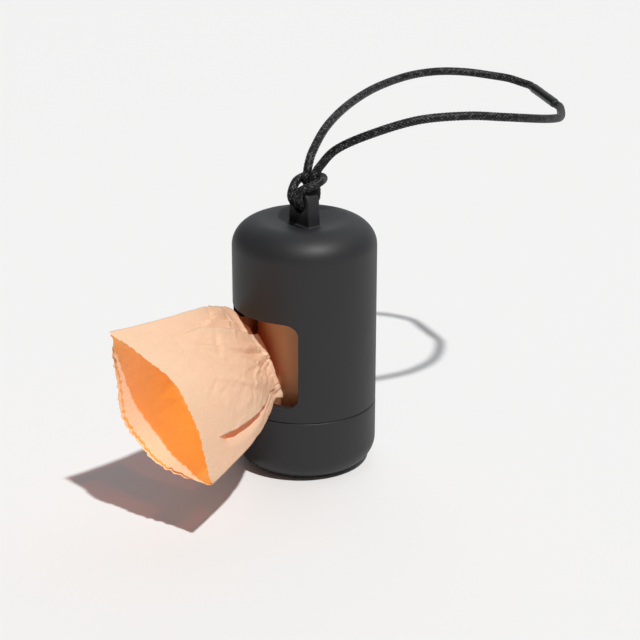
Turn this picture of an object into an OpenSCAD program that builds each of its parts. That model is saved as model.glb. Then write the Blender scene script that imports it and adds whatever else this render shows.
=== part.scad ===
// Pocket dispenser for rolled dog poop bags: a black plastic can with a window, standing on its base cap.
// Millimetres. Z is up, the rest face is z = 0, the can's axis is x = y = 0 and the window faces -Y.

/* [Can] */
// Outside diameter of the can
can_d = 45; // [40:0.5:50]
// Height of the can over its rim
can_h = 80.26; // [74:0.01:86]
// Wall thickness of shell and cap
wall = 2.4; // [1.6:0.1:3]
// Radial size of the elliptic shoulder
shoulder_r = 9.85; // [6:0.05:12]
// Height of the elliptic shoulder
shoulder_h = 8.42; // [6:0.02:11]
// Depth of the shallow dish in the top
dish_depth = 2.6; // [1:0.1:4]
// Radius at which the dish has run out
dish_r = 16; // [14:0.5:17]

/* [Base cap] */
// Height of the seam between cap and shell
seam_z = 20.86; // [18:0.02:24]
// Radius of the cap's rounded bottom edge
bottom_r = 8.17; // [6:0.01:10]
// Thickness of the cap's floor
floor_t = 2.6; // [2:0.1:3.5]
// Radius of the pad on the cap's floor that carries the roll
pad_r = 9; // [8:0.5:12]
// Height of the pad's top
pad_z = 6.2; // [4:0.1:7]
// Height of the collar that stands up inside the shell
collar_h = 4.14; // [3:0.02:4.4]
// Wall thickness of the collar
collar_t = 1.5; // [1.2:0.1:2]
// Gap round the collar
collar_gap = 0.1; // [0.05:0.01:0.3]

/* [Window] */
// Half of the window's width across its chord
window_x = 15.9; // [13:0.1:17]
// Lower edge of the window
window_low = 25.5; // [25.2:0.1:28]
// Upper edge of the window
window_high = 53; // [50:0.5:56]
// Corner radius of the window
window_r = 3.5; // [2:0.1:5]

/* [Lug] */
// Thickness of the lug on the top
lug_t = 4.2; // [3.6:0.1:5]
// Width of the lug where it meets the top
lug_w = 9.2; // [8:0.1:11]
// Radius of the lug's round head
lug_r = 4.35; // [4:0.05:5]
// Height of the head's centre
lug_z = 85; // [84:0.1:87]
// Diameter of the cord hole
eye_d = 5.2; // [5:0.1:5.4]
// Height of the cord hole
eye_z = 84.8; // [84:0.1:86]

/* [Bags] */
// Radius of the wound bags
roll_r = 15; // [14:0.1:17]
// Height of the roll, which is a bag's folded width
roll_h = 58; // [54:0.5:60]
// Height at which the roll stands
roll_z = 6.6; // [6.5:0.1:8]
// Outside diameter of the cardboard core
core_d = 15; // [13:0.5:17]
// Wall thickness of the core
core_t = 1; // [0.8:0.1:1.5]

/* [Cord] */
// Diameter of the elastic cord where it hangs free
cord_d = 2.7; // [2.4:0.1:3]
// Diameter of the cord where the knot stretches it
knot_d = 2.2; // [2:0.1:2.4]
// Diameter of the sleeve over the joint
sleeve_d = 3.2; // [3:0.1:3.6]
// Length of the sleeve
sleeve_l = 15; // [10:0.5:18]

/* [Hidden] */
$fn = 96;
eps = 0.01;
black = [0.05, 0.05, 0.055];
peach = [1.0, 0.72, 0.5];
card = [0.72, 0.6, 0.45];

can_r = can_d / 2;
inner_r = can_r - wall;
shoulder_z = can_h - shoulder_h;
shoulder_x = can_r - shoulder_r;

// Height of the top face at radius r, with the shoulder grown inwards by t: the dish sinks it smoothly.
function dish(r) = r < dish_r ? dish_depth * (1 + cos(180 * r / dish_r)) / 2 : 0;
function rise(r, t) = r <= shoulder_x ? 1 : sqrt(max(0, 1 - pow((r - shoulder_x) / (shoulder_r - t), 2)));
function top_z(r, t) = shoulder_z + (shoulder_h - t) * rise(r, t) - dish(r);
function arc(cx, cz, rx, rz, from, to, n) =
    [for (i = [0 : n]) let (a = from + (to - from) * i / n) [cx + rx * cos(a), cz + rz * sin(a)]];

// Half section of the shell's skin, offset inwards by t, from its low edge over the shoulder to the axis.
shoulder_steps = 7;
dish_steps = 8;
function shoulder_line(t) = [
    for (i = [0 : shoulder_steps])
        let (a = 78 * i / shoulder_steps, r = shoulder_x + (shoulder_r - t) * cos(a))
            [r, top_z(r, t)]
];
function dish_line(t) = [
    for (i = [1 : dish_steps])
        let (r = (shoulder_x + (shoulder_r - t) * cos(78)) * (1 - i / dish_steps))
            [r, top_z(r, t)]
];
function skin(t) = concat([[can_r - t, seam_z]], shoulder_line(t), dish_line(t));
function reversed(list) = [for (i = [len(list) - 1 : -1 : 0]) list[i]];

module window_outline() {
    low = window_low + window_r;
    high = window_high - window_r;
    translate([-window_x, low])
        square([2 * window_x, high - low]);
    translate([-window_x + window_r, window_low])
        square([2 * (window_x - window_r), window_high - window_low]);
    for (x = [-1, 1], z = [low, high])
        translate([x * (window_x - window_r), z])
            circle(r = window_r);
}

module lug_outline() {
    foot_z = can_h - dish_depth - wall / 2;
    polygon([[-lug_w / 2, foot_z], [lug_w / 2, foot_z], [lug_r, lug_z], [-lug_r, lug_z]]);
    translate([0, lug_z])
        circle(r = lug_r);
}

module shell() {
    color(black)
    difference() {
        union() {
            rotate_extrude()
                polygon(concat(skin(0), reversed(skin(wall))));
            rotate([90, 0, 0])
                linear_extrude(lug_t, center = true)
                    lug_outline();
        }
        rotate([90, 0, 0])
            linear_extrude(can_d)
                window_outline();
        translate([0, 0, eye_z])
            rotate([90, 0, 0])
                cylinder(d = eye_d, h = 2 * lug_t, center = true);
    }
}

module base_cap() {
    inner_bottom_r = bottom_r - wall;
    collar_r = inner_r - collar_gap;
    collar_z = seam_z + collar_h;
    inside_r = collar_r - collar_t;
    ramp_z = seam_z - 2;
    outside = concat([[0, 0]], arc(can_r - bottom_r, bottom_r, bottom_r, bottom_r, -90, 0, 8));
    collar = [[can_r, seam_z], [collar_r, seam_z], [collar_r, collar_z], [inside_r, collar_z], [inside_r, ramp_z]];
    inside = concat([[inner_r, ramp_z - 2]],
        arc(inner_r - inner_bottom_r, floor_t + inner_bottom_r, inner_bottom_r, inner_bottom_r, 0, -90, 6));
    color(black)
    rotate_extrude()
        polygon(concat(outside, collar, inside, [[pad_r, floor_t], [pad_r, pad_z], [0, pad_z]]));
}

module bag_roll() {
    color(peach)
    translate([0, 0, roll_z])
        difference() {
            cylinder(r = roll_r, h = roll_h);
            translate([0, 0, -1])
                cylinder(d = core_d + 2 * eps, h = roll_h + 2);
        }
}

module roll_core() {
    color(card)
    translate([0, 0, roll_z])
        difference() {
            cylinder(d = core_d, h = roll_h);
            translate([0, 0, -1])
                cylinder(d = core_d - 2 * core_t, h = roll_h + 2);
        }
}

// The bag that is being pulled leaves the window along pull_dir. A section across the pull is a lens from
// a high corner to a low one. Each station is [distance out, high corner, low corner, front, back bulge],
// with a corner given as [sideways, height].
pull_dir = [0.4, -0.915, 0] / norm([0.4, -0.915]);
side_dir = [0.915, 0.4, 0] / norm([0.4, -0.915]);
stations = [
    [17.2, [-17.5, 50], [-0.5, 28], 2.5, 9],
    [20.5, [-16.5, 50.6], [1.8, 28], 4, 8],
    [24, [-15.5, 55], [2.2, 27.6], 6, 8],
    [29, [-15.2, 58.6], [2.6, 26.2], 7.5, 9],
    [36, [-16, 60.6], [3.8, 25], 8.5, 10.5],
    [46, [-18.6, 61.4], [5.4, 23.6], 9, 12],
    [58, [-22.5, 61.9], [6.3, 22.3], 9, 13],
    [70, [-26.9, 62.4], [6.1, 21.2], 8.8, 14]
];
lens_n = 24;
film_t = 0.7;
mouth_depth = 20;
lead_t = 0.8;
function place(s, q) = pull_dir * s + side_dir * q[0] + [0, 0, q[1]];
function lens(st) = let (chord = st[2] - st[1], out = [-chord[1], chord[0]] / norm(chord)) [
    for (i = [0 : lens_n - 1])
        let (u = 2 * i / lens_n, v = u < 1 ? u : 2 - u, bulge = u < 1 ? st[3] : -st[4])
            st[1] + chord * v + out * bulge * sin(180 * v)
];
function middle(list) = [for (k = [0, 1]) sum([for (q = list) q[k]]) / len(list)];
function sum(list, i = 0) = i >= len(list) ? 0 : list[i] + sum(list, i + 1);
function shrunk(list, f) = let (m = middle(list)) [for (q = list) m + (q - m) * f];
mouth = lens(stations[len(stations) - 1]);
mouth_s = stations[len(stations) - 1][0];
mouth_rings = [[mouth_s, 0.9], [mouth_s - mouth_depth / 2, 0.72], [mouth_s - mouth_depth, 0.3]];
bag_rings = concat(
    [for (st = stations) [for (q = lens(st)) place(st[0], q)]],
    [for (m = mouth_rings) [for (q = shrunk(mouth, m[1])) place(m[0], q)]]
);

// Faces of a closed tube of rings of n points, as triangles, with flat ends.
function tube_faces(rings, n) = concat(
    [for (k = [0 : rings - 2], i = [0 : n - 1]) [k * n + i, k * n + (i + 1) % n, (k + 1) * n + i]],
    [for (k = [0 : rings - 2], i = [0 : n - 1]) [k * n + (i + 1) % n, (k + 1) * n + (i + 1) % n, (k + 1) * n + i]],
    [for (i = [1 : n - 2]) [0, i + 1, i]],
    [for (i = [1 : n - 2]) [(rings - 1) * n, (rings - 1) * n + i, (rings - 1) * n + i + 1]]
);
function joined(lists) = [for (list = lists) each list];

module pulled_bag() {
    lead_from = -roll_r - 0.3;
    color(peach)
    union() {
        polyhedron(joined(bag_rings), tube_faces(len(bag_rings), lens_n), convexity = 4);
        multmatrix([
            [side_dir[0], pull_dir[0], 0, 0],
            [side_dir[1], pull_dir[1], 0, 0],
            [0, 0, 1, 0]
        ])
            translate([lead_from - lead_t, 0, 31])
                cube([lead_t, stations[0][0] + 1, 17]);
    }
}

// The sleeve lies at the far end of the loop, over the joint of the cord's two ends.
sleeve_at = [8.25, 96, 105];
sleeve_dir = [15.5, -5, -2] / norm([15.5, -5, -2]);

// The free loop, from the right-hand strand above the knot, through the sleeve and back to the left-hand one.
loop_route = [
    [2, 2.6, 93.8], [3.3, 3.8, 97], [7, 7, 102.3], [15, 13.5, 107.5], [24, 24.5, 111.8],
    [31.5, 37.5, 112.5], [35.5, 49, 111], [36.8, 60, 109], [35.5, 68.5, 107.2], [32.5, 76.5, 105.5],
    [27.5, 83.5, 104], [22.5, 89, 103.5], sleeve_at + 10.7 * sleeve_dir, sleeve_at + 8.2 * sleeve_dir,
    sleeve_at - 8.2 * sleeve_dir, sleeve_at - 10 * sleeve_dir, [-4.5, 98.6, 106.6], [-9, 96.8, 107.5],
    [-13.7, 94, 108], [-20.3, 87.7, 109], [-24.8, 79, 109.7], [-26.3, 68, 109.8], [-24.5, 54.5, 109.3],
    [-20, 41, 108.6], [-14, 27, 107], [-8, 15, 104.3], [-3.4, 6.4, 100], [-1.6, 3.2, 97], [-0.8, 1.8, 94.2]
];

// The knot: both strands go down behind the lug and forwards through its eye, and the bight that joins
// them comes up over the lug's front and round both strands.
knot_route = [
    [-0.8, 1.8, 94.2], [-1, 2.4, 91.4], [-1.4, 3.4, 88.6], [-1.35, 3.3, 86.2], [-1.35, 1.6, 84.8],
    [-1.35, -1.6, 84.8], [-1.35, -3.3, 86.2], [-1.9, -3.5, 88.3], [-3.3, -2.2, 90.3], [-4.3, 0.6, 91.6],
    [-3.4, 3.8, 92.6], [-0.6, 5.5, 93.1], [2.8, 5.4, 93.2], [4.9, 3, 92.5], [4.6, -0.2, 91.2],
    [3.2, -2.3, 89.7], [1.8, -3.5, 88], [1.35, -3.3, 86.2], [1.35, -1.6, 84.8], [1.35, 1.6, 84.8],
    [1.35, 3.3, 86.2], [1.5, 3.5, 88.4], [1.7, 3, 91], [2, 2.6, 93.8]
];
cord_sides = 8;

// A smooth curve through a route, with the tangents at its ends set by one more point before and after.
function between(a, b, c, d, u) =
    (2 * b + (c - a) * u + (2 * a - 5 * b + 4 * c - d) * u * u + (3 * b - a - 3 * c + d) * u * u * u) / 2;
function curve(route, before, after, steps) =
    let (p = concat([before], route, [after]), n = len(route))
        concat([for (k = [0 : n - 2], i = [0 : steps - 1])
            between(p[k], p[k + 1], p[k + 2], p[k + 3], i / steps)], [route[n - 1]]);
function unit(w) = w / norm(w);
function tangents(line, before, after) = let (n = len(line), p = concat([before], line, [after])) [
    for (i = [1 : n])
        unit(unit(p[i + 1] - p[i]) + unit(p[i] - p[i - 1]))
];
// Sideways directions carried along the line without twist.
function carried(t, i, w) = i >= len(t) ? [] : let (c = unit(w - (w * t[i]) * t[i])) concat([c], carried(t, i + 1, c));
function cord_rings(line, t, radius) = let (w = carried(t, 0, [0.6, -0.8, 0.1])) [
    for (i = [0 : len(line) - 1])
        [for (k = [0 : cord_sides - 1])
            let (a = -360 * k / cord_sides)
                line[i] + radius * (cos(a) * w[i] + sin(a) * cross(t[i], w[i]))]
];
function run(line) = sum([for (i = [1 : len(line) - 1]) norm(line[i] - line[i - 1])]);

module cord(line, before, after, radius) {
    rings = cord_rings(line, tangents(line, before, after), radius);
    polyhedron(joined(rings), tube_faces(len(rings), cord_sides), convexity = 8);
}

knot_n = len(knot_route);
loop_n = len(loop_route);
knot_steps = 3;
loop_steps = 2;
knot_line = curve(knot_route, loop_route[loop_n - 2], loop_route[1], knot_steps);
loop_line = curve(loop_route, knot_route[knot_n - 2], knot_route[1], loop_steps);
knot_apart = 4 * knot_steps;
knot_gap = min([for (i = [0 : len(knot_line) - 1], j = [i + knot_apart : 1 : len(knot_line) - 1])
    norm(knot_line[i] - knot_line[j])]) - knot_d;
echo(least_gap_in_knot = knot_gap, loop_length = run(loop_line), knot_length = run(knot_line));

module cord_loop() {
    color(black)
    cord(loop_line, knot_line[len(knot_line) - 2], knot_line[1], cord_d / 2);
}

module cord_knot() {
    color(black)
    cord(knot_line, loop_line[len(loop_line) - 2], loop_line[1], knot_d / 2);
}

module cord_sleeve() {
    turn = atan2(sleeve_dir[1], sleeve_dir[0]);
    tip = acos(sleeve_dir[2]);
    color(black)
    translate(sleeve_at)
        rotate([0, tip, turn])
            difference() {
                cylinder(d = sleeve_d, h = sleeve_l, center = true);
                cylinder(d = cord_d + 2 * eps, h = sleeve_l + 2, center = true);
            }
}

shell();
base_cap();
bag_roll();
roll_core();
pulled_bag();
cord_loop();
cord_knot();
cord_sleeve();
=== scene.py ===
"""Looks of a pocket dispenser for rolled dog poop bags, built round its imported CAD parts.

The can's axis is the Z axis, the rest face is z = 0 and the window faces -Y. Lengths are metres; MM turns
millimetres into metres. The sizes are part.scad's, but for the lug and the knot's cord, which are a little
fuller.
"""
import math

import bmesh
import bpy
import numpy as np
from mathutils import Matrix, Vector, noise


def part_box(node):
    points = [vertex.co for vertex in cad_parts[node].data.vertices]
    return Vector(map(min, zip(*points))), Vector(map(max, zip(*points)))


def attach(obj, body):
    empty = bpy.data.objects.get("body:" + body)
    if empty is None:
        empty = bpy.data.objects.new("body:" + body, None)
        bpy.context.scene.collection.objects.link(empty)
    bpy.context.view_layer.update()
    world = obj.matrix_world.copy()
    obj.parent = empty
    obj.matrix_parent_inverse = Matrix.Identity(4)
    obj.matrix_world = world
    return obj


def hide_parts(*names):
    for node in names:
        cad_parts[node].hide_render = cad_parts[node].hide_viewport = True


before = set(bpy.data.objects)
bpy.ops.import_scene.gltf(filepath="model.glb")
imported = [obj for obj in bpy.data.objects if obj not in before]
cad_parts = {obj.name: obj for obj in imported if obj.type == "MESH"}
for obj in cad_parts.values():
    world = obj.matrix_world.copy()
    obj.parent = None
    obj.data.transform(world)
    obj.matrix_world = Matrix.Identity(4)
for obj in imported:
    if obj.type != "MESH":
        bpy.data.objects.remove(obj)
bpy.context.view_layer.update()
MM = 0.001

# ---------------------------------------------------------------- sizes, from the frame and from part.scad
shell_low, shell_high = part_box("shell")
roll_low, roll_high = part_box("bag_roll")
core_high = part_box("roll_core")[1]
CAN_R = shell_high.x
WALL = 2.4 * MM
SEAM_Z = shell_low.z
CAN_H = 80.26 * MM
SHOULDER_R = 9.85 * MM
SHOULDER_H = 8.42 * MM
DISH_DEPTH = 2.6 * MM
DISH_R = 16 * MM
WINDOW_X = 15.9 * MM
WINDOW_LOW = 25.5 * MM
WINDOW_HIGH = 53 * MM
WINDOW_R = 3.5 * MM
BOTTOM_R = 8.17 * MM
FLOOR_T = 2.6 * MM
PAD_R = 9 * MM
PAD_Z = 6.2 * MM
COLLAR_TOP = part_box("base_cap")[1].z
COLLAR_T = 1.5 * MM
COLLAR_GAP = 0.1 * MM
LUG_T = 4.5 * MM
LUG_W = 9.9 * MM
LUG_R = 4.6 * MM
LUG_Z = 85.3 * MM
EYE_D = 5.2 * MM
EYE_Z = 84.8 * MM
CORD_D = 2.7 * MM
KNOT_D = 2.8 * MM
SLEEVE_D = 3.2 * MM
SLEEVE_L = 15 * MM
# The direction of the joint bag_pull.
PULL_X, PULL_Y = 0.4, -0.915


# ---------------------------------------------------------------- small helpers
def unit(v):
    return v / np.linalg.norm(v)


def ease(t):
    """A smooth step from 0 to 1."""
    t = np.clip(t, 0, 1)
    return t * t * (3 - 2 * t)


def bridge(a, b):
    """Faces between two closed rings of vertex numbers."""
    return list(zip(a, a[1:] + a[:1], b[1:] + b[:1], b))


def make_object(name, verts, faces, body, material):
    """A smooth mesh piece that rides on a CAD body."""
    mesh = bpy.data.meshes.new(name)
    mesh.from_pydata([tuple(v) for v in verts], [], [tuple(f) for f in faces])
    mesh.update()
    obj = bpy.data.objects.new(name, mesh)
    bpy.context.scene.collection.objects.link(obj)
    mesh.polygons.foreach_set("use_smooth", [True] * len(mesh.polygons))
    mesh.materials.append(material)
    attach(obj, body)
    return obj


def loop_edges(bm, loop):
    """The edges between neighbours of a closed loop of vertex numbers."""
    bm.verts.ensure_lookup_table()
    pairs = zip(loop, loop[1:] + loop[:1])
    return [bm.edges.get((bm.verts[a], bm.verts[b])) for a, b in pairs]


def bevel_loops(obj, loops, width, segments=3):
    """Rounds the edges along closed loops of vertices."""
    bm = bmesh.new()
    bm.from_mesh(obj.data)
    bmesh.ops.recalc_face_normals(bm, faces=bm.faces)
    edges = [e for loop in loops for e in loop_edges(bm, loop) if e]
    bmesh.ops.bevel(
        bm, geom=edges, offset=width, segments=segments, profile=0.5, affect="EDGES", clamp_overlap=False
    )
    bmesh.ops.recalc_face_normals(bm, faces=bm.faces)
    bm.to_mesh(obj.data)
    bm.free()
    obj.data.polygons.foreach_set("use_smooth", [True] * len(obj.data.polygons))


def weigh_normals(obj):
    """Shades flat faces flat beside rounded edges."""
    mod = obj.modifiers.new("even normals", "WEIGHTED_NORMAL")
    mod.keep_sharp = True
    mod.weight = 60


def revolve(profile, columns):
    """Vertices and faces of a closed profile of (radius, height) turned about Z."""
    verts, rings = [], []
    for r, z in profile:
        if r < 1e-7:
            rings.append([len(verts)])
            verts.append((0, 0, z))
        else:
            rings.append(list(range(len(verts), len(verts) + columns)))
            for j in range(columns):
                a = 2 * math.pi * j / columns
                verts.append((r * math.sin(a), -r * math.cos(a), z))
    faces = []
    for low, high in zip(rings, rings[1:] + rings[:1]):
        if len(low) == 1 and len(high) == 1:
            continue
        for j in range(columns):
            k = (j + 1) % columns
            if len(low) == 1:
                faces.append((low[0], high[k], high[j]))
            elif len(high) == 1:
                faces.append((low[j], low[k], high[0]))
            else:
                faces.append((low[j], low[k], high[k], high[j]))
    return verts, faces


def round_corner(a, corner, b, radius, steps=4):
    """Points of an arc of about that radius that rounds the corner between two points."""
    a, corner, b = (np.array(p, float) for p in (a, corner, b))
    p, q = corner + unit(a - corner) * radius, corner + unit(b - corner) * radius
    shares = np.linspace(0, 1, steps + 1)
    return [tuple((1 - t) ** 2 * p + 2 * t * (1 - t) * corner + t * t * q) for t in shares]


# ---------------------------------------------------------------- materials
class Nodes:
    """A material's node tree, with a short way to add and join nodes."""

    def __init__(self, name):
        self.material = bpy.data.materials.new(name)
        self.material.use_nodes = True
        self.tree = self.material.node_tree
        self.tree.nodes.clear()
        self.output = self.tree.nodes.new("ShaderNodeOutputMaterial")

    def add(self, kind, links=None, **values):
        node = self.tree.nodes.new("ShaderNode" + kind)
        for key, value in values.items():
            if key in node.bl_rna.properties:
                setattr(node, key, value)
            else:
                node.inputs[key.replace("_", " ")].default_value = value
        for key, source in (links or {}).items():
            self.tree.links.new(source, node.inputs[key])
        return node

    def surface(self, shader):
        self.tree.links.new(shader, self.output.inputs["Surface"])
        return self.material

    def place(self):
        """The object's own coordinates, in millimetres."""
        coords = self.add("TexCoord").outputs["Object"]
        return self.add("Mapping", {"Vector": coords}, Scale=(1000, 1000, 1000)).outputs[0]

    def ramp(self, source, *stops):
        node = self.add("ValToRGB", {"Fac": source})
        while len(node.color_ramp.elements) < len(stops):
            node.color_ramp.elements.new(0.5)
        for element, (position, colour) in zip(node.color_ramp.elements, stops):
            element.position = position
            element.color = (*colour, 1)
        return node.outputs["Color"]


def moulded_plastic(name, colour):
    """Satin black plastic: a fine spark-eroded grain, faint flow marks and rubbed patches."""
    n = Nodes(name)
    place = n.place()
    grain = n.add("TexNoise", {"Vector": place}, Scale=2.0, Detail=3.0, Roughness=0.6)
    cloud = n.add("TexNoise", {"Vector": place}, Scale=0.05, Detail=4.0, Roughness=0.55)
    rough = n.ramp(cloud.outputs[0], (0.3, (0.49, 0.49, 0.49)), (0.7, (0.56, 0.56, 0.56)))
    dull, clean = tuple(0.92 * c for c in colour), tuple(1.06 * c for c in colour)
    tint = n.ramp(cloud.outputs[0], (0.35, dull), (0.65, clean))
    bump = n.add("Bump", {"Height": grain.outputs[0]}, Strength=0.3, Distance=0.00006)
    shader = n.add(
        "BsdfPrincipled", {"Base Color": tint, "Roughness": rough, "Normal": bump.outputs[0]}, IOR=1.5
    )
    shader.inputs["Specular IOR Level"].default_value = 0.42
    return n.surface(shader.outputs[0])


def braid_fibre(name):
    """Black polyester yarn with fine fibres; some crests of the braid are painted pale, as painted highlights for
    the yarns' glints.
    """
    n = Nodes(name)
    place = n.place()
    fibre = n.add("TexNoise", {"Vector": place}, Scale=7.0, Detail=2.0, Roughness=0.6)
    patch = n.add("TexNoise", {"Vector": place}, Scale=0.9, Detail=2.0, Roughness=0.6)
    yarn = n.add("Attribute", attribute_name="yarn")
    # Painted highlight: where the braid is high and the patch noise allows, its colour turns pale, as glints on
    # the yarns.
    painted_glint_mask = n.add("Math", {0: yarn.outputs["Fac"], 1: patch.outputs[0]}, operation="MULTIPLY")
    painted_glint = n.ramp(painted_glint_mask.outputs[0], (0.40, (0.003, 0.003, 0.0035)), (0.52, (0.12, 0.12, 0.125)))
    bump = n.add("Bump", {"Height": fibre.outputs[0]}, Strength=0.6, Distance=0.00008)
    shader = n.add("BsdfPrincipled", {"Base Color": painted_glint, "Normal": bump.outputs[0]}, Roughness=0.5)
    shader.inputs["Specular IOR Level"].default_value = 0.3
    shader.inputs["Sheen Weight"].default_value = 0.08
    shader.inputs["Sheen Roughness"].default_value = 0.4
    return n.surface(shader.outputs[0])


def shrunk_tube(name):
    """Smooth glossy black tube with faint ripples."""
    n = Nodes(name)
    ripple = n.add("TexNoise", {"Vector": n.place()}, Scale=0.6, Detail=2.0)
    bump = n.add("Bump", {"Height": ripple.outputs[0]}, Strength=0.3, Distance=0.0001)
    tint = n.ramp(ripple.outputs[0], (0.3, (0.008, 0.008, 0.009)), (0.7, (0.014, 0.014, 0.015)))
    shader = n.add("BsdfPrincipled", {"Base Color": tint, "Normal": bump.outputs[0]}, Roughness=0.3)
    return n.surface(shader.outputs[0])


def bag_film(name, tint, glow, wrinkle, clear=None):
    """Thin translucent film with fine creases; light through it is warmer than light off it.

    With clear, direct light goes on through the film in that colour, as through the front of the open bag.
    """
    n = Nodes(name)
    place = n.place()
    drawn = n.add("Mapping", {"Vector": n.add("TexCoord").outputs["Object"]}, vector_type="TEXTURE")
    drawn.inputs["Rotation"].default_value = (0, 0, math.atan2(PULL_Y, PULL_X))
    drawn.inputs["Scale"].default_value = (0.0026, 0.001, 0.001)
    crease = n.add(
        "TexNoise", {"Vector": drawn.outputs[0]}, Scale=0.28, Detail=6.0, Roughness=0.62, Distortion=0.8
    )
    fine = n.add("TexNoise", {"Vector": place}, Scale=1.1, Detail=3.0, Roughness=0.5)
    both = n.add("Math", {0: crease.outputs[0], 1: fine.outputs[0]}, operation="MULTIPLY")
    bump = n.add("Bump", {"Height": both.outputs[0]}, Strength=wrinkle, Distance=0.0008)
    # Faint painted shade: the film's colour follows the crease noise, a touch darker where the creases sink and
    # full where they rise.
    colour = n.ramp(crease.outputs[0], (0.3, tuple(0.95 * c for c in tint)), (0.7, tint))
    shader = n.add("BsdfPrincipled", {"Base Color": colour, "Normal": bump.outputs[0]}, Roughness=0.42)
    through = n.add("BsdfTranslucent", {"Normal": bump.outputs[0]}, Color=(*glow, 1))
    mix = n.add("MixShader", {1: shader.outputs[0], 2: through.outputs[0]}, Fac=0.22)
    if clear:
        shadow_ray = n.add("LightPath").outputs["Is Shadow Ray"]
        passing = n.add("BsdfTransparent", Color=(*clear, 1))
        mix = n.add("MixShader", {0: shadow_ray, 1: mix.outputs[0], 2: passing.outputs[0]})
    return n.surface(mix.outputs[0])


def cardboard(name):
    """Grey-brown wound board with a fine fibre."""
    n = Nodes(name)
    fibre = n.add("TexNoise", {"Vector": n.place()}, Scale=1.5, Detail=5.0, Roughness=0.7)
    tint = n.ramp(fibre.outputs[0], (0.3, (0.30, 0.21, 0.13)), (0.7, (0.48, 0.35, 0.23)))
    bump = n.add("Bump", {"Height": fibre.outputs[0]}, Strength=0.4, Distance=0.0001)
    shader = n.add("BsdfPrincipled", {"Base Color": tint, "Normal": bump.outputs[0]}, Roughness=0.9)
    return n.surface(shader.outputs[0])


shell_plastic = moulded_plastic("shell plastic", (0.024, 0.0245, 0.027))
cap_plastic = moulded_plastic("cap plastic", (0.023, 0.0235, 0.026))
cord_braid = braid_fibre("cord braid")
sleeve_plastic = shrunk_tube("sleeve plastic")
FILM = (1.0, 0.77, 0.54)
THROUGH = (1.0, 0.42, 0.12)
film_front = bag_film("bag film front", FILM, THROUGH, 0.5, (0.7, 0.32, 0.035))
film_back = bag_film("bag film back", FILM, THROUGH, 0.5, (0.13, 0.03, 0.01))
film_lip = bag_film("bag film lip", FILM, THROUGH, 0.5, (0.45, 0.12, 0.01))
film_rim = bag_film("bag film rim", FILM, THROUGH, 0.5, (0.9, 0.42, 0.07))
roll_film = bag_film("roll film", (0.95, 0.50, 0.26), (0.8, 0.3, 0.08), 0.15)
core_card = cardboard("core card")


# ---------------------------------------------------------------- camera, floor and light
CAMERA_LENS = 104.26
CAMERA_AZIMUTH = math.radians(50)
CAMERA_ROLL = math.radians(0.077)
KEY_ENERGY = 2.85
FLOOR_HALF = 6.0


def seen_from_camera(x, y, z):
    """A point in metres from millimetres to the right, away and up, as the camera sees the can."""
    return Vector((
        x * math.cos(CAMERA_AZIMUTH) - y * math.sin(CAMERA_AZIMUTH),
        x * math.sin(CAMERA_AZIMUTH) + y * math.cos(CAMERA_AZIMUTH),
        z,
    )) * MM


def studio():
    """A pale floor, a soft key light from the camera's right and the photograph's camera."""
    scene = bpy.context.scene
    scene.view_settings.view_transform = "Standard"
    data = bpy.data.cameras.new("camera")
    data.sensor_width = 36
    data.lens = CAMERA_LENS
    data.clip_end = 100
    cam = bpy.data.objects.new("camera", data)
    scene.collection.objects.link(cam)
    scene.camera = cam
    eye, target = seen_from_camera(4.826, -543.703, 254.143), seen_from_camera(4.826, 0, 46.592)
    cam.location = eye
    turn = (target - eye).to_track_quat("-Z", "Y").to_matrix() @ Matrix.Rotation(CAMERA_ROLL, 3, "Z")
    cam.rotation_euler = turn.to_euler()

    to_light = Vector((0.523, -0.083, 0.848))
    sun = bpy.data.lights.new("key", "SUN")
    sun.energy = KEY_ENERGY
    sun.angle = math.radians(2)
    sun.color = (1.0, 0.985, 0.96)
    key = bpy.data.objects.new("key", sun)
    key.rotation_euler = to_light.to_track_quat("Z", "Y").to_euler()
    scene.collection.objects.link(key)

    world = bpy.data.worlds.new("studio")
    world.use_nodes = True
    scene.world = world
    tree = world.node_tree
    tree.nodes.clear()
    out = tree.nodes.new("ShaderNodeOutputWorld")
    fill = tree.nodes.new("ShaderNodeBackground")
    fill.inputs["Color"].default_value = (0.93, 0.96, 1.0, 1)
    direction = tree.nodes.new("ShaderNodeTexCoord")
    towards = tree.nodes.new("ShaderNodeVectorMath")
    towards.operation = "DOT_PRODUCT"
    towards.inputs[1].default_value = Vector((-0.45, 0.75, 0.5)).normalized()
    panel = tree.nodes.new("ShaderNodeMapRange")
    panel.interpolation_type = "SMOOTHSTEP"
    panel.inputs["From Min"].default_value = 0.45
    panel.inputs["From Max"].default_value = 1.0
    panel.inputs["To Min"].default_value = 0.09
    panel.inputs["To Max"].default_value = 0.7
    tree.links.new(direction.outputs["Generated"], towards.inputs[0])
    tree.links.new(towards.outputs["Value"], panel.inputs["Value"])
    tree.links.new(panel.outputs["Result"], fill.inputs["Strength"])
    tree.links.new(fill.outputs[0], out.inputs["Surface"])

    mesh = bpy.data.meshes.new("floor")
    corners = [(x * FLOOR_HALF, y * FLOOR_HALF, 0) for x, y in ((-1, -1), (1, -1), (1, 1), (-1, 1))]
    mesh.from_pydata(corners, [], [(0, 1, 2, 3)])
    floor = bpy.data.objects.new("floor", mesh)
    scene.collection.objects.link(floor)
    n = Nodes("floor")
    ray = n.add("LightPath").outputs
    seen = n.add("Math", {0: ray["Is Camera Ray"], 1: ray["Is Glossy Ray"]}, operation="MAXIMUM")
    seen = n.add("Math", {0: seen.outputs[0], 1: ray["Is Transmission Ray"]}, operation="MAXIMUM")
    tone = n.ramp(seen.outputs[0], (0.0, (0.5, 0.5, 0.503)), (1.0, (0.92, 0.92, 0.925)))
    shader = n.add("BsdfPrincipled", {"Base Color": tone}, Roughness=0.8)
    shader.inputs["Specular IOR Level"].default_value = 0.2
    mesh.materials.append(n.surface(shader.outputs[0]))


studio()


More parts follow.
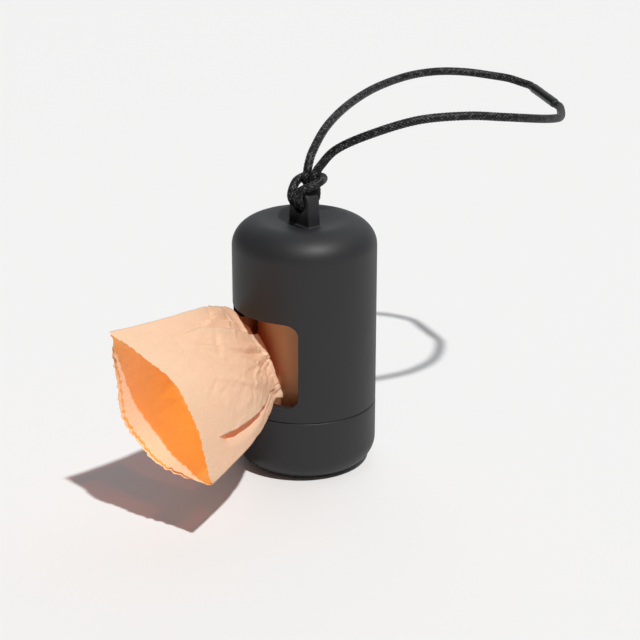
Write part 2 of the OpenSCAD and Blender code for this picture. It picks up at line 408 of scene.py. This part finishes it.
# ---------------------------------------------------------------- shell
COLUMNS = 144
FRAME_COLS = 42
FRAME_LOW = 22.5 * MM
FRAME_HIGH = 56.5 * MM
FRAME_ROWS = 17
CORNER_CELLS = 4
RIM_RINGS = 4
EDGE_ROUND = 0.35 * MM


def dish(r):
    """Depth of the dish in the top at radius r."""
    return DISH_DEPTH * (1 + math.cos(math.pi * r / DISH_R)) / 2 if r < DISH_R else 0


def top_z(r, inset):
    """Height of the can's top at radius r, for the skin that lies inset under the outer one."""
    foot = CAN_R - SHOULDER_R
    out = max(0, r - foot) / (SHOULDER_R - inset)
    return CAN_H - SHOULDER_H + (SHOULDER_H - inset) * math.sqrt(max(0, 1 - out * out)) - dish(r)


def window_outline(count_x, count_z):
    """Points (x, z) round the window, count_x along its low and high sides and count_z up each side."""
    low, high = WINDOW_LOW + WINDOW_R, WINDOW_HIGH - WINDOW_R
    side = WINDOW_X - WINDOW_R
    centres = [(-side, low), (side, low), (side, high), (-side, high)]
    points = []
    for k, count in enumerate((count_x, count_z, count_x, count_z)):
        (ax, az), (bx, bz) = centres[k], centres[(k + 1) % 4]
        out = math.radians(-90 + 90 * k)
        ox, oz = WINDOW_R * math.cos(out), WINDOW_R * math.sin(out)
        for i in range(count):
            if i < CORNER_CELLS:
                a = out - math.radians(45 * (1 - i / CORNER_CELLS))
                points.append((ax + WINDOW_R * math.cos(a), az + WINDOW_R * math.sin(a)))
            elif i > count - CORNER_CELLS:
                a = out + math.radians(45 * (1 - (count - i) / CORNER_CELLS))
                points.append((bx + WINDOW_R * math.cos(a), bz + WINDOW_R * math.sin(a)))
            else:
                t = (i - CORNER_CELLS) / (count - 2 * CORNER_CELLS)
                points.append((ax + (bx - ax) * t + ox, az + (bz - az) * t + oz))
    return points


def skin(inset):
    """One skin of the shell: vertices, faces, and the loops round its window and its low edge."""
    r = CAN_R - inset
    step = 360 / COLUMNS
    half = FRAME_COLS * step / 2
    spread = (60 / half) if inset else 1.0

    def turn(degrees):
        """Columns of the inner skin keep clear of its wider window."""
        d = (degrees + 180) % 360 - 180
        if abs(d) <= half:
            return math.radians(d * spread)
        rest = (180 - half * spread) / (180 - half)
        return math.radians(math.copysign(half * spread + (abs(d) - half) * rest, d))

    def at(degrees, z):
        a = turn(degrees)
        return (r * math.sin(a), -r * math.cos(a), z)

    rows = [SEAM_Z, (SEAM_Z + FRAME_LOW) / 2]
    rows += [FRAME_LOW + (FRAME_HIGH - FRAME_LOW) * i / FRAME_ROWS for i in range(FRAME_ROWS + 1)]
    first, last = 2, 2 + FRAME_ROWS
    shoulder_z = CAN_H - SHOULDER_H
    rows += [FRAME_HIGH + (shoulder_z - FRAME_HIGH) * i / 6 for i in range(1, 7)]
    verts, ids, faces = [], {}, []
    for i, z in enumerate(rows):
        for j in range(COLUMNS):
            ids[i, j] = len(verts)
            verts.append(at(-half + j * step, z))
    count = len(rows)
    foot = CAN_R - SHOULDER_R
    curve = [math.radians(a) for a in np.linspace(0, 78, 20)[1:]]
    radii = [foot + (SHOULDER_R - inset) * math.cos(a) for a in curve]
    radii += list(np.linspace(radii[-1], 0, 22)[1:-1])
    for radius in radii:
        for j in range(COLUMNS):
            ids[count, j] = len(verts)
            a = turn(-half + j * step)
            verts.append((radius * math.sin(a), -radius * math.cos(a), top_z(radius, inset)))
        count += 1
    pole = len(verts)
    verts.append((0, 0, top_z(0, inset)))
    for i in range(count - 1):
        for j in range(COLUMNS):
            k = (j + 1) % COLUMNS
            if first <= i < last and j < FRAME_COLS:
                continue
            faces.append((ids[i, j], ids[i, k], ids[i + 1, k], ids[i + 1, j]))
    faces += [(ids[count - 1, j], ids[count - 1, (j + 1) % COLUMNS], pole) for j in range(COLUMNS)]

    outer = [ids[first, j] for j in range(FRAME_COLS)]
    outer += [ids[i, FRAME_COLS] for i in range(first, last)]
    outer += [ids[last, j] for j in range(FRAME_COLS, 0, -1)]
    outer += [ids[i, 0] for i in range(last, first, -1)]
    flat = [(-half + j * step, FRAME_LOW) for j in range(FRAME_COLS)]
    flat += [(half, rows[i]) for i in range(first, last)]
    flat += [(-half + j * step, FRAME_HIGH) for j in range(FRAME_COLS, 0, -1)]
    flat += [(-half, rows[i]) for i in range(last, first, -1)]
    edge = window_outline(FRAME_COLS, FRAME_ROWS)
    rings = [outer]
    for k in range(1, RIM_RINGS + 1):
        w = k / RIM_RINGS
        ring = []
        for (degrees, z), (x, edge_z) in zip(flat, edge):
            a = (1 - w) * turn(degrees) + w * math.asin(x / r)
            ring.append(len(verts))
            verts.append((r * math.sin(a), -r * math.cos(a), (1 - w) * z + w * edge_z))
        rings.append(ring)
    for a, b in zip(rings, rings[1:]):
        faces += bridge(a, b)
    return verts, faces, rings[-1], [ids[0, j] for j in range(COLUMNS)]


def build_shell():
    """The can's two skins, joined at the window and the seam, with every edge rounded."""
    verts, faces, window, low = skin(0)
    inner, inner_faces, inner_window, inner_low = skin(WALL)
    shift = len(verts)
    inner_window, inner_low = [i + shift for i in inner_window], [i + shift for i in inner_low]
    faces += [tuple(reversed([i + shift for i in f])) for f in inner_faces]
    faces += bridge(window, inner_window) + bridge(low, inner_low)
    shell = make_object("shell_body", verts + inner, faces, "housing", shell_plastic)
    bevel_loops(shell, [window, low, inner_window, inner_low], EDGE_ROUND)
    weigh_normals(shell)
    return shell


def build_lug():
    """The flat lug with its round head and its eye."""
    foot_z = 76.9 * MM
    top = top_z(0, 0)
    slope = (LUG_W / 2 - LUG_R) / (LUG_Z - top)
    angles = sorted(set(np.round(np.linspace(0, 2 * math.pi, 73)[:-1], 6)))
    corner = math.atan2(foot_z - EYE_Z, LUG_W / 2 + slope * (top - foot_z))

    def reach(a):
        """Distance from the eye's centre to the outline in direction a."""
        for k in range(1, 4000):
            d = k * 0.004 * MM
            x, z = abs(d * math.cos(a)), EYE_Z + d * math.sin(a)
            half = LUG_R + slope * (LUG_Z - z)
            if z > LUG_Z:
                inside = x * x + (z - LUG_Z) ** 2 < LUG_R ** 2
            else:
                inside = x < half and z > foot_z
            if not inside:
                return d
        return d

    angles = [a for a in angles if abs((a - corner) % (2 * math.pi)) > 0.03]
    angles = sorted(angles + [corner % (2 * math.pi), (math.pi - corner) % (2 * math.pi)])
    outline = [reach(a) for a in angles]
    verts, faces, rings = [], [], []
    for side in (-1, 1):
        for w in (1, 0.72, 0.36, 0):
            ring = []
            for a, far in zip(angles, outline):
                d = EYE_D / 2 + (far - EYE_D / 2) * w
                ring.append(len(verts))
                verts.append((d * math.cos(a), side * LUG_T / 2, EYE_Z + d * math.sin(a)))
            rings.append(ring)
    order = rings[:4] + rings[4:][::-1]
    for a, b in zip(order, order[1:] + order[:1]):
        faces += bridge(a, b)
    lug = make_object("shell_lug", verts, faces, "housing", shell_plastic)
    bevel_loops(lug, [rings[0], rings[3], rings[4], rings[7]], 0.4 * MM, 4)
    weigh_normals(lug)


def build_lug_foot():
    """The small fillet where the lug meets the top."""
    corners = []
    half_x, half_y, r = LUG_W / 2 - 0.05 * MM, LUG_T / 2, 0.45 * MM
    for k, (sx, sy) in enumerate(((1, 1), (-1, 1), (-1, -1), (1, -1))):
        for a in np.linspace(0, 90, 6):
            b = math.radians(90 * k + a)
            nx, ny = math.cos(b), math.sin(b)
            corners.append(((half_x - r) * sx + r * nx, (half_y - r) * sy + r * ny, nx, ny))
    verts, rings = [], []
    fillet = 0.7 * MM
    for a in np.linspace(0, 90, 7):
        out = fillet * (1 - math.cos(math.radians(a))) - 0.02 * MM
        up = fillet * (1 - math.sin(math.radians(a))) - 0.04 * MM
        rings.append(list(range(len(verts), len(verts) + len(corners))))
        for x, y, nx, ny in corners:
            px, py = x + nx * out, y + ny * out
            verts.append((px, py, top_z(math.hypot(px, py), 0) + up))
    faces = [face for a, b in zip(rings, rings[1:]) for face in bridge(a, b)]
    make_object("shell_lug_foot", verts, faces, "housing", shell_plastic)


def build_cap():
    """The base cap with its collar and rounded edges."""
    inner_r = CAN_R - WALL
    collar_r = inner_r - COLLAR_GAP
    inside_r = collar_r - COLLAR_T
    bend = BOTTOM_R - WALL
    edge = 0.6 * MM
    seam = SEAM_Z - 0.1 * MM
    profile = [(0, 0), (6 * MM, 0), (12 * MM, 0)]
    for a in np.linspace(-90, 0, 25):
        a = math.radians(a)
        profile.append((CAN_R - BOTTOM_R + BOTTOM_R * math.cos(a), BOTTOM_R + BOTTOM_R * math.sin(a)))
    profile += [(CAN_R, z) for z in np.linspace(BOTTOM_R, seam, 5)[1:-1]]
    profile += round_corner((CAN_R, 0), (CAN_R, seam), (0, seam), edge)
    profile += [(collar_r, seam), (collar_r, (seam + COLLAR_TOP) / 2)]
    profile += round_corner((collar_r, 0), (collar_r, COLLAR_TOP), (0, COLLAR_TOP), 0.3 * MM)
    profile += round_corner((CAN_R, COLLAR_TOP), (inside_r, COLLAR_TOP), (inside_r, 0), 0.3 * MM)
    ramp = SEAM_Z - 2 * MM
    profile += [(inside_r, ramp), (inner_r, ramp - 2 * MM)]
    for a in np.linspace(0, -90, 15):
        a = math.radians(a)
        profile.append((inner_r - bend + bend * math.cos(a), FLOOR_T + bend + bend * math.sin(a)))
    profile += round_corner((inner_r, FLOOR_T), (PAD_R, FLOOR_T), (PAD_R, PAD_Z), 0.5 * MM)
    profile += round_corner((PAD_R, FLOOR_T), (PAD_R, PAD_Z), (0, PAD_Z), 0.4 * MM)
    profile += [(4 * MM, PAD_Z), (0, PAD_Z)]
    verts, faces = revolve(profile, COLUMNS)
    cap = make_object("cap_body", verts, faces, "cap", cap_plastic)
    weigh_normals(cap)
    return cap


shell_body = build_shell()
build_lug()
build_lug_foot()
cap_body = build_cap()
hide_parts("shell")
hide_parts("base_cap")


# ---------------------------------------------------------------- cord: the loop, the knot and the sleeve
SLEEVE_AT = np.array([8.25, 96, 105])
SLEEVE_DIR = unit(np.array([15.5, -5, -2]))


def on_sleeve(mm):
    """A point on the sleeve's axis, mm from its middle."""
    return list(SLEEVE_AT + mm * SLEEVE_DIR)


# Route points in millimetres. The loop's are part.scad's. The knot's are drawn tighter and its cord is thicker, so
# its strands sink into each other, by up to 0.42 mm, and into the lug's upper edges, by up to 0.86 mm.
LOOP_ROUTE = [
    [2, 2.6, 93.8], [3.3, 3.8, 97], [7, 7, 102.3], [15, 13.5, 107.5], [24, 24.5, 111.8],
    [31.5, 37.5, 112.5], [35.5, 49, 111], [36.8, 60, 109], [35.5, 68.5, 107.2], [32.5, 76.5, 105.5],
    [27.5, 83.5, 104], [22.5, 89, 103.5], on_sleeve(10.7), on_sleeve(8.2),
    on_sleeve(-8.2), on_sleeve(-10), [-4.5, 98.6, 106.6], [-9, 96.8, 107.5],
    [-13.7, 94, 108], [-20.3, 87.7, 109], [-24.8, 79, 109.7], [-26.3, 68, 109.8], [-24.5, 54.5, 109.3],
    [-20, 41, 108.6], [-14, 27, 107], [-8, 15, 104.3], [-3.4, 6.4, 100], [-1.6, 3.2, 97], [-0.8, 1.8, 94.2],
]
KNOT_ROUTE = [
    [-0.8, 1.8, 94.2], [-1.3, 1.8, 91.4], [-1.4, 3.4, 88.6], [-1.35, 3.3, 86.2], [-1.35, 1.6, 84.8],
    [-1.35, -1.6, 84.8], [-1.4, -3.4, 86.2], [-1.7, -3.7, 88], [-2.3, -2.4, 90.2], [-3.5, 0.2, 91.5],
    [-3.3, 3.4, 92.2], [-0.8, 5.2, 92.4], [2.6, 5.3, 92.6], [4.4, 2.4, 92.2], [3.7, -0.7, 91],
    [1.8, -2.8, 89.8], [1.5, -3.7, 88], [1.35, -3.4, 86.2], [1.35, -1.6, 84.8], [1.35, 1.6, 84.8],
    [1.35, 3.3, 86.2], [1.5, 3.5, 88.4], [1.7, 3, 91], [2, 2.6, 93.8],
]
BRAID_STRANDS = 8
BRAID_PITCH = 1.2 * MM
BRAID_DEPTH = 0.2 * MM
BRAID_AROUND = 40
BRAID_STEP = 0.24 * MM
BUNCHED_SHARE = 0.06


def smooth_line(route, before, after, step):
    """Points spaced step apart along the smooth curve through a route, in metres."""
    p = np.array([before] + list(route) + [after], float) * MM
    dense = []
    for k in range(len(route) - 1):
        a, b, c, d = p[k:k + 4]
        for u in np.linspace(0, 1, 40, endpoint=False):
            dense.append((2 * b + (c - a) * u + (2 * a - 5 * b + 4 * c - d) * u * u
                          + (3 * b - a - 3 * c + d) * u ** 3) / 2)
    dense.append(p[-2])
    dense = np.array(dense)
    run = np.concatenate([[0], np.cumsum(np.linalg.norm(np.diff(dense, axis=0), axis=1))])
    at = np.linspace(0, run[-1], max(2, int(round(run[-1] / step))) + 1)
    return np.stack([np.interp(at, run, dense[:, k]) for k in range(3)], 1), at


def braid_height(u, v):
    """Height of a plain braid, 0 to 1: two sets of yarns that pass over and under each other by turns."""
    arch_u = np.sqrt(np.clip(1 - (2 * (u % 1) - 1) ** 2, 0, 1))
    arch_v = np.sqrt(np.clip(1 - (2 * (v % 1) - 1) ** 2, 0, 1))
    over_u = 0.55 * arch_u + 0.45 * np.sin(np.pi * (v + np.floor(u)))
    over_v = 0.55 * arch_v - 0.45 * np.sin(np.pi * (u + np.floor(v)))
    return np.maximum(over_u, over_v)


def braided_cord(name, route, before, after, width):
    """A closed tube along a route, with the braid's yarns raised on it, and the line that it follows.

    width(t) is its diameter at share t of its length.
    """
    line, run = smooth_line(route, before, after, BRAID_STEP)
    tangent = np.gradient(line, axis=0)
    tangent /= np.linalg.norm(tangent, axis=1)[:, None]
    side = unit(np.cross(tangent[0], [0.1, 0.2, 1]))
    around = np.arange(BRAID_AROUND) / BRAID_AROUND
    verts, heights = [], []
    for k, (centre, t) in enumerate(zip(line, tangent)):
        side = unit(side - np.dot(side, t) * t)
        other = np.cross(t, side)
        turn = BRAID_STRANDS * around
        height = braid_height(turn + run[k] / BRAID_PITCH, turn - run[k] / BRAID_PITCH + 200)
        radius = width(run[k] / run[-1]) / 2 - BRAID_DEPTH * (1 - height)
        a = 2 * np.pi * around
        ring = centre + radius[:, None] * (np.cos(a)[:, None] * side + np.sin(a)[:, None] * other)
        verts.append(ring)
        heights.append(height)
    rings = [list(range(k * BRAID_AROUND, (k + 1) * BRAID_AROUND)) for k in range(len(line))]
    faces = [face for a, b in zip(rings, rings[1:]) for face in bridge(a, b)]
    faces += [rings[0][::-1], rings[-1]]
    obj = make_object(name, np.concatenate(verts), faces, "housing", cord_braid)
    # The braid's height at each vertex, which the cord's material turns into painted highlights on the crests.
    yarn = obj.data.attributes.new("yarn", "FLOAT", "POINT")
    yarn.data.foreach_set("value", np.concatenate(heights).astype(np.float32))
    return obj, line


def loop_width(t):
    """The free cord, a little fuller over its first and last few millimetres, where the knot bunches it."""
    return KNOT_D + (CORD_D - KNOT_D) * ease(min(t, 1 - t) / BUNCHED_SHARE)


def build_cord():
    """The free loop, the knot at the lug and the sleeve over the joint."""
    loop, loop_line = braided_cord("cord_loop_braid", LOOP_ROUTE, KNOT_ROUTE[-2], KNOT_ROUTE[1], loop_width)
    knot, _ = braided_cord("cord_knot_braid", KNOT_ROUTE, LOOP_ROUTE[-2], LOOP_ROUTE[1], lambda t: KNOT_D)
    half, r = SLEEVE_L / 2, SLEEVE_D / 2
    profile = [(CORD_D / 2 - 0.05 * MM, -half)]
    profile += round_corner((0, -half), (r - 0.08 * MM, -half), (r - 0.08 * MM, half), 0.25 * MM)
    for t in np.linspace(-0.9, 0.9, 31):
        swell = 0.05 * MM * math.sin(9 * t) * math.cos(4 * t + 1)
        profile.append((r - 0.04 * MM + swell * 0.6, t * half))
    profile += round_corner((r - 0.08 * MM, -half), (r - 0.08 * MM, half), (0, half), 0.25 * MM)
    profile.append((CORD_D / 2 - 0.05 * MM, half))
    verts, faces = revolve(profile, 48)
    turn = Vector(SLEEVE_DIR).to_track_quat("Z", "Y").to_matrix()
    middle = Vector(SLEEVE_AT) * MM
    verts = [turn @ Vector(v) + middle for v in verts]
    sleeve = make_object("cord_sleeve_tube", verts, faces, "housing", sleeve_plastic)
    for piece, node in ((loop, "cord_loop"), (knot, "cord_knot"), (sleeve, "cord_sleeve")):
        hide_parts(node)


# ---------------------------------------------------------------- bags
PULL = unit(np.array([PULL_X, PULL_Y, 0]))
SIDE = np.array([-PULL[1], PULL[0], 0])
# Sections of the pulled bag, in millimetres: distance out, high corner, low corner, front and back bulge. The
# outer ones are part.scad's; those inside the can lead the film to the roll.
STATIONS = [
    (0, (-15.6, 48), (-15.5, 31), 0.1, 0.1),
    (8, (-15.6, 48.3), (-15.0, 30.5), 0.2, 0.3),
    (12, (-15.4, 49.2), (-12.2, 29.5), 0.8, 0.8),
    (14, (-15.2, 50), (-9, 29), 1.4, 1.2),
    (15.8, (-15.4, 51.5), (-3, 28.8), 3, 2),
    (17.6, (-16, 53.4), (1.2, 28.1), 4.2, 5),
    (20.3, (-16.4, 55), (1.2, 27.9), 3.2, 7),
    (24, (-16.2, 56.2), (1.5, 27.2), 3.4, 8),
    (29, (-16, 57.8), (2.7, 26), 4.2, 9),
    (36, (-16.6, 59.8), (4.4, 25), 5.2, 10.5),
    (46, (-18.8, 61.2), (5.9, 23.6), 6.2, 12),
    (58, (-22.5, 61.9), (6.5, 22.3), 7.6, 13.2),
    (70, (-26.9, 62.4), (6.1, 21.2), 8.4, 15.4),
]
BAG_GIRTH = 118
BAG_OUT = 70
# Shares round at which the tuck and the crease lie on average, and the share out from which the edge is torn.
MEAN_TUCK, MEAN_CREASE = 0.11, 0.43
RAGGED = 1.96
# Long folds, in millimetres: start and end as (distance out, distance round), height and width.
FOLDS = [
    ((30, 38), (20, 54), 0.8, 2.5),
    ((57, 13), (24, 27), 0.75, 2.2),
    ((62, 19), (30, 33), 0.55, 3.0),
    ((60, 25), (34, 41), 0.5, 2.2),
    ((50, 16), (23, 36), 0.6, 1.6),
    ((44, 21), (22, 31), -0.5, 1.8),
    ((56, 22), (30, 45), 0.4, 2.8),
    ((42, 11), (24, 24), -0.45, 2.0),
    ((36, 27), (21, 48), 0.55, 1.8),
    ((43, 9), (25, 3), 0.9, 2.2),
    ((40, 3), (26, 8), -0.9, 2.0),
    ((35, 6), (24, 11), 0.9, 1.6),
    ((55, 95), (25, 88), 1.0, 5.0),
    ((60, 75), (24, 80), -1.2, 6.0),
    ((48, 105), (24, 98), 0.9, 4.0),
    ((66, 66), (30, 70), 0.8, 5.0),
]


def fold_height(s, a, start, end, height, width):
    """Height of one fold, a ridge that fades out at its ends, at distance s out and a round."""
    start, end = np.array(start, float), np.array(end, float)
    length = np.linalg.norm(end - start)
    along = (end - start) / length
    l = (s - start[0]) * along[0] + (a - start[1]) * along[1]
    t = (s - start[0]) * -along[1] + (a - start[1]) * along[0]
    mask = ease(l / (0.35 * length)) * ease((length * 1.15 - l) / (0.25 * length))
    return height * mask * np.clip(1 - np.abs(t) / width, 0, 1)


def crumple(s, a):
    """Small creases of random direction, dense near the window and none at the mouth."""
    rng = np.random.default_rng(11)
    total = np.zeros_like(s)
    for _ in range(230):
        cs = 18 + 44 * rng.random() ** 1.4
        ca = rng.random() * BAG_GIRTH
        turn = rng.normal(0.35, 0.6)
        size = 2 + 7 * rng.random()
        height = rng.normal(0, 0.24) * (1.25 - (cs - 20) / 60)
        width = 0.7 + 1.7 * rng.random()
        if ca < 9 and cs < 48:
            height, width = 1.8 * height, 0.8 * width
        da = (a - ca + BAG_GIRTH / 2) % BAG_GIRTH - BAG_GIRTH / 2
        l = (s - cs) * math.cos(turn) + da * math.sin(turn)
        t = -(s - cs) * math.sin(turn) + da * math.cos(turn)
        total += height * np.exp(-(l / size) ** 2) * np.clip(1 - np.abs(t) / width, 0, 1)
    return total


STATION_OUT = np.array([out for out, *_ in STATIONS], float)
STATION_ROW = np.array([[*high, *low, front, back] for _, high, low, front, back in STATIONS], float)
STATION_SLOPE = np.gradient(STATION_ROW, STATION_OUT, axis=0)


def section(s):
    """Corners and bulges at distances s, smoothly between the stations."""
    k = np.clip(np.searchsorted(STATION_OUT, s) - 1, 0, len(STATION_OUT) - 2)
    h = (STATION_OUT[k + 1] - STATION_OUT[k])[:, None]
    u = ((s - STATION_OUT[k])[:, None]) / h
    return ((2 * u ** 3 - 3 * u ** 2 + 1) * STATION_ROW[k] + (u ** 3 - 2 * u ** 2 + u) * h * STATION_SLOPE[k]
            + (3 * u ** 2 - 2 * u ** 3) * STATION_ROW[k + 1] + (u ** 3 - u ** 2) * h * STATION_SLOPE[k + 1])


def bag_place(s, u, high):
    """Places on the bag in metres, at distance s out and share u round, raised by high millimetres."""
    row = section(s)
    a, chord = row[:, 0:2], row[:, 2:4] - row[:, 0:2]
    out = np.stack([-chord[:, 1], chord[:, 0]], 1) / np.linalg.norm(chord, axis=1)[:, None]
    share = np.where(u < 0.5, 2 * u, 2 - 2 * u)
    late = ease((s - 30) / 35) * 0.25
    skewed = np.where(u < 0.5, share, share ** (1 + late))
    fullness = np.clip(np.sin(np.pi * skewed), 0, 1) ** np.where(u < 0.5, 1, 1 - 0.8 * late)
    bulge = np.where(u < 0.5, row[:, 4], -row[:, 5]) * fullness
    flat = a + chord * share[:, None] + out * bulge[:, None]
    lean = np.where(u < 0.5, 1, -1) * np.abs(np.sin(np.pi * share))
    away = flat - (a + chord / 2)
    normal = out * lean[:, None] + 0.5 * away / np.linalg.norm(away, axis=1)[:, None]
    normal /= np.linalg.norm(normal, axis=1)[:, None]
    flat = flat + normal * high[:, None]
    return (PULL * s[:, None] + SIDE * flat[:, :1] + np.array([0, 0, 1]) * flat[:, 1:]) * MM


# Three lines on the front of the bag: the tuck under its crumpled top, the crease over its lower edge and the
# fold where it turns into the window.
def tuck_line(s):
    return 0.07 + 0.07 * np.clip((44 - s) / 16, 0, 1.5)


def crease_line(s):
    return 0.405 + 0.025 * (62 - s) / 38


def window_fold(u):
    return np.interp(u, [0, 0.06, 0.12, 0.16, 0.22, 0.28, 0.36, 0.45, 0.5, 0.6, 0.9, 1],
                     [24.5, 23.5, 24, 22.8, 21, 20, 19.2, 18.5, 18, 18, 22, 24.5])


def bag_height(s, u, over_tuck, over_crease, over_fold):
    """Height of the film's relief in millimetres, on the chosen side of the three lines."""
    a = u * BAG_GIRTH
    high = crumple(s, a)
    for fold in FOLDS:
        high = high + fold_height(s, a, *fold)
    high = high + 0.5 * np.sin(a / 9 + s / 13) * ease((s - 22) / 20)
    high = high * ease((s - 15) / 4) * (1 - 0.8 * ease((s - 58) / 12))
    below = (u - tuck_line(s)) * BAG_GIRTH
    tuck = 2.1 * ease((50 - s) / 14) * ease((s - 15) / 4)
    over, under = 0.6 * tuck * np.exp(-np.abs(below) / 6), -tuck * np.exp(-np.abs(below) / 3.5)
    high = high + np.where(over_tuck, over, under)
    below = (u - crease_line(s)) * BAG_GIRTH
    along = np.clip((62 - s) / 43, 0, 1)
    pocket = 7.0 * np.sin(np.pi * along ** 0.7) * ease(along / 0.12) * (s > 19)
    wide = 0.5 + 6.0 * np.sin(np.pi * along ** 0.6)
    lip = 0.9 * np.sin(np.pi * along) * np.exp(-np.abs(below) / 5)
    high = high + np.where(over_crease, -pocket * np.clip(1 - below / wide, 0, 1) ** 1.3, lip)
    sunk = -0.9 * ease(u / 0.05) * ease((0.5 - u) / 0.05) * ease((s - 14.5) / 2)
    return high + np.where(over_fold, 0, sunk)


def share_round(band, tuck, crease):
    """Share round the bag, from the band.

    Band 0 to 1 leads down to the tuck, 1 to 2 to the crease, 2 to 3 to the low edge and 3 to 4 up the back.
    """
    return np.select(
        [band < 1, band < 2, band < 3],
        [band * tuck, tuck + (band - 1) * (crease - tuck), crease + (band - 2) * (0.5 - crease)],
        0.5 + (band - 3) * 0.5,
    )


def bag_sheet(name, columns, rows, offset, closed, body_material, mouth_wave):
    """A film over a grid, and the share round of its columns.

    Columns are (band, side of tuck, side of crease). Rows are (share out, side of fold), where 1 is the fold
    and 2 is the mouth. A number just short of a whole one is the near side of the tuck, crease or fold there.
    """
    band = np.array([c[0] for c in columns], float)
    verts = []
    u0 = share_round(band, MEAN_TUCK, MEAN_CREASE)
    fold = window_fold(u0)
    over_tuck = np.array([c[1] for c in columns], bool)
    over_crease = np.array([c[2] for c in columns], bool)
    rng = np.random.default_rng(5)
    tear = rng.normal(0, 0.16, len(columns))
    a = u0 * BAG_GIRTH
    wave = 0.55 * np.sin(a / 6.5) + 0.35 * np.sin(a / 2.9 + 1) + 0.32 * np.abs((a / 1.5) % 2 - 1) + tear
    short = -2.4 * np.sin(np.pi * np.clip(2 - 2 * u0, 0, 1)) ** 0.9 * (u0 > 0.5) * mouth_wave
    for t, over_fold in rows:
        out = BAG_OUT + short
        s = np.where(t < 1, t * fold, fold + (t - 1) * (out - fold))
        s = s + wave * ease((t - RAGGED) / (2 - RAGGED))
        u = share_round(band, tuck_line(s), crease_line(s))
        high = bag_height(s, u, over_tuck, over_crease, np.full(len(s), over_fold)) + offset(s, u)
        verts.append(bag_place(s, u, high))
    verts = np.concatenate(verts)
    faces, n = [], len(columns)
    for i in range(len(rows) - 1):
        for j in range(n if closed else n - 1):
            k = (j + 1) % n
            faces.append((i * n + j, (i + 1) * n + j, (i + 1) * n + k, i * n + k))
    return make_object(name, verts, faces, "pulled", body_material), u0


def spread(low, high, count):
    """Evenly spaced numbers from low up to high, which is left out."""
    return list(np.linspace(low, high, count, endpoint=False))


def build_bag():
    """The pulled bag, and the loose second ply that shows behind its torn back edge."""
    columns = [(t, False, False) for t in spread(0, 1, 26)] + [(0.9999, False, False)]
    columns += [(1 + t, True, False) for t in spread(0, 1, 76)] + [(1.9999, True, False)]
    columns += [(2 + t, True, True) for t in spread(0, 1, 22)]
    columns += [(3 + t, True, True) for t in spread(0, 1, 96)]
    rows = [(t, False) for t in spread(0, 0.62, 14) + spread(0.62, 1, 20) + [0.9999]]
    rows += [(t, True) for t in spread(1, RAGGED, 108)] + [(t, True) for t in np.linspace(RAGGED, 2, 5)]
    bag, u0 = bag_sheet("pulled_bag_film", columns, rows, lambda s, u: 0 * u, True, film_front, 1)
    for film in (film_back, film_lip, film_rim):
        bag.data.materials.append(film)
    count = len(columns)
    kind = []
    for k in range((len(rows) - 1) * count):
        u, t = u0[k % count], rows[k // count][0]
        lip = 0.37 < u < 0.44 and t < 1.75
        rim = 0.6 < u < 0.92 and t > 1.86
        kind.append(3 if rim else 1 if u > 0.49 or (u > 0.44 and t < 1.75) else 2 if lip else 0)
    bag.data.polygons.foreach_set("material_index", kind)

    ply_columns = [(3 + t, True, True) for t in np.linspace(0.08, 0.92, 84)]
    ply_rows = [(t, True) for t in spread(1.6, RAGGED, 32)] + [(t, True) for t in np.linspace(RAGGED, 2, 5)]

    def apart(s, u):
        """How far the second ply stands off the first."""
        return 0.3 + 1.1 * ease((s - 52) / 18) * np.sin(np.pi * np.clip((u - 0.54) / 0.43, 0, 1)) ** 0.5

    ply, _ = bag_sheet("pulled_bag_ply", ply_columns, ply_rows, apart, False, film_back, 0.85)
    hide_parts("pulled_bag")


def build_roll():
    """The wound bags: a slightly uneven cylinder whose ends show the windings."""
    columns, count, verts, faces, rings = 180, 30, [], [], []
    r_in, r_out = core_high.x + 0.05 * MM, roll_high.x - 0.1 * MM
    low, high = roll_low.z, roll_high.z
    rng = np.random.default_rng(3)
    windings = np.linspace(r_in, r_out, count)
    lift = rng.normal(0, 0.12, count) * MM
    profile = [(r, low + 0.3 * MM + abs(z)) for r, z in zip(windings, lift)]
    profile += [(r_out, z) for z in np.linspace(low + 0.6 * MM, high - 0.6 * MM, 24)]
    profile += [(r, high - 0.3 * MM - abs(z)) for r, z in zip(windings[::-1], lift[::-1])]
    profile += [(r_in, z) for z in np.linspace(high - 0.6 * MM, low + 0.6 * MM, 4)]
    for r, z in profile:
        ring = []
        for j in range(columns):
            a = 2 * math.pi * j / columns
            uneven = noise.noise(Vector((math.cos(a) * 2.5, math.sin(a) * 2.5, z / (30 * MM))))
            fine = noise.noise(Vector((math.cos(a) * 11, math.sin(a) * 11, z / (18 * MM))))
            radius = r - (0.08 + 0.08 * uneven + 0.05 * fine) * MM * (r > 0.9 * r_out)
            ring.append(len(verts))
            verts.append((radius * math.sin(a), -radius * math.cos(a), z))
        rings.append(ring)
    for a, b in zip(rings, rings[1:] + rings[:1]):
        faces += bridge(a, b)
    roll = make_object("bag_roll_windings", verts, faces, "refill", roll_film)
    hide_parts("bag_roll")


build_cord()
build_bag()
build_roll()
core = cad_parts["roll_core"]
core.data.materials.clear()
core.data.materials.append(core_card)
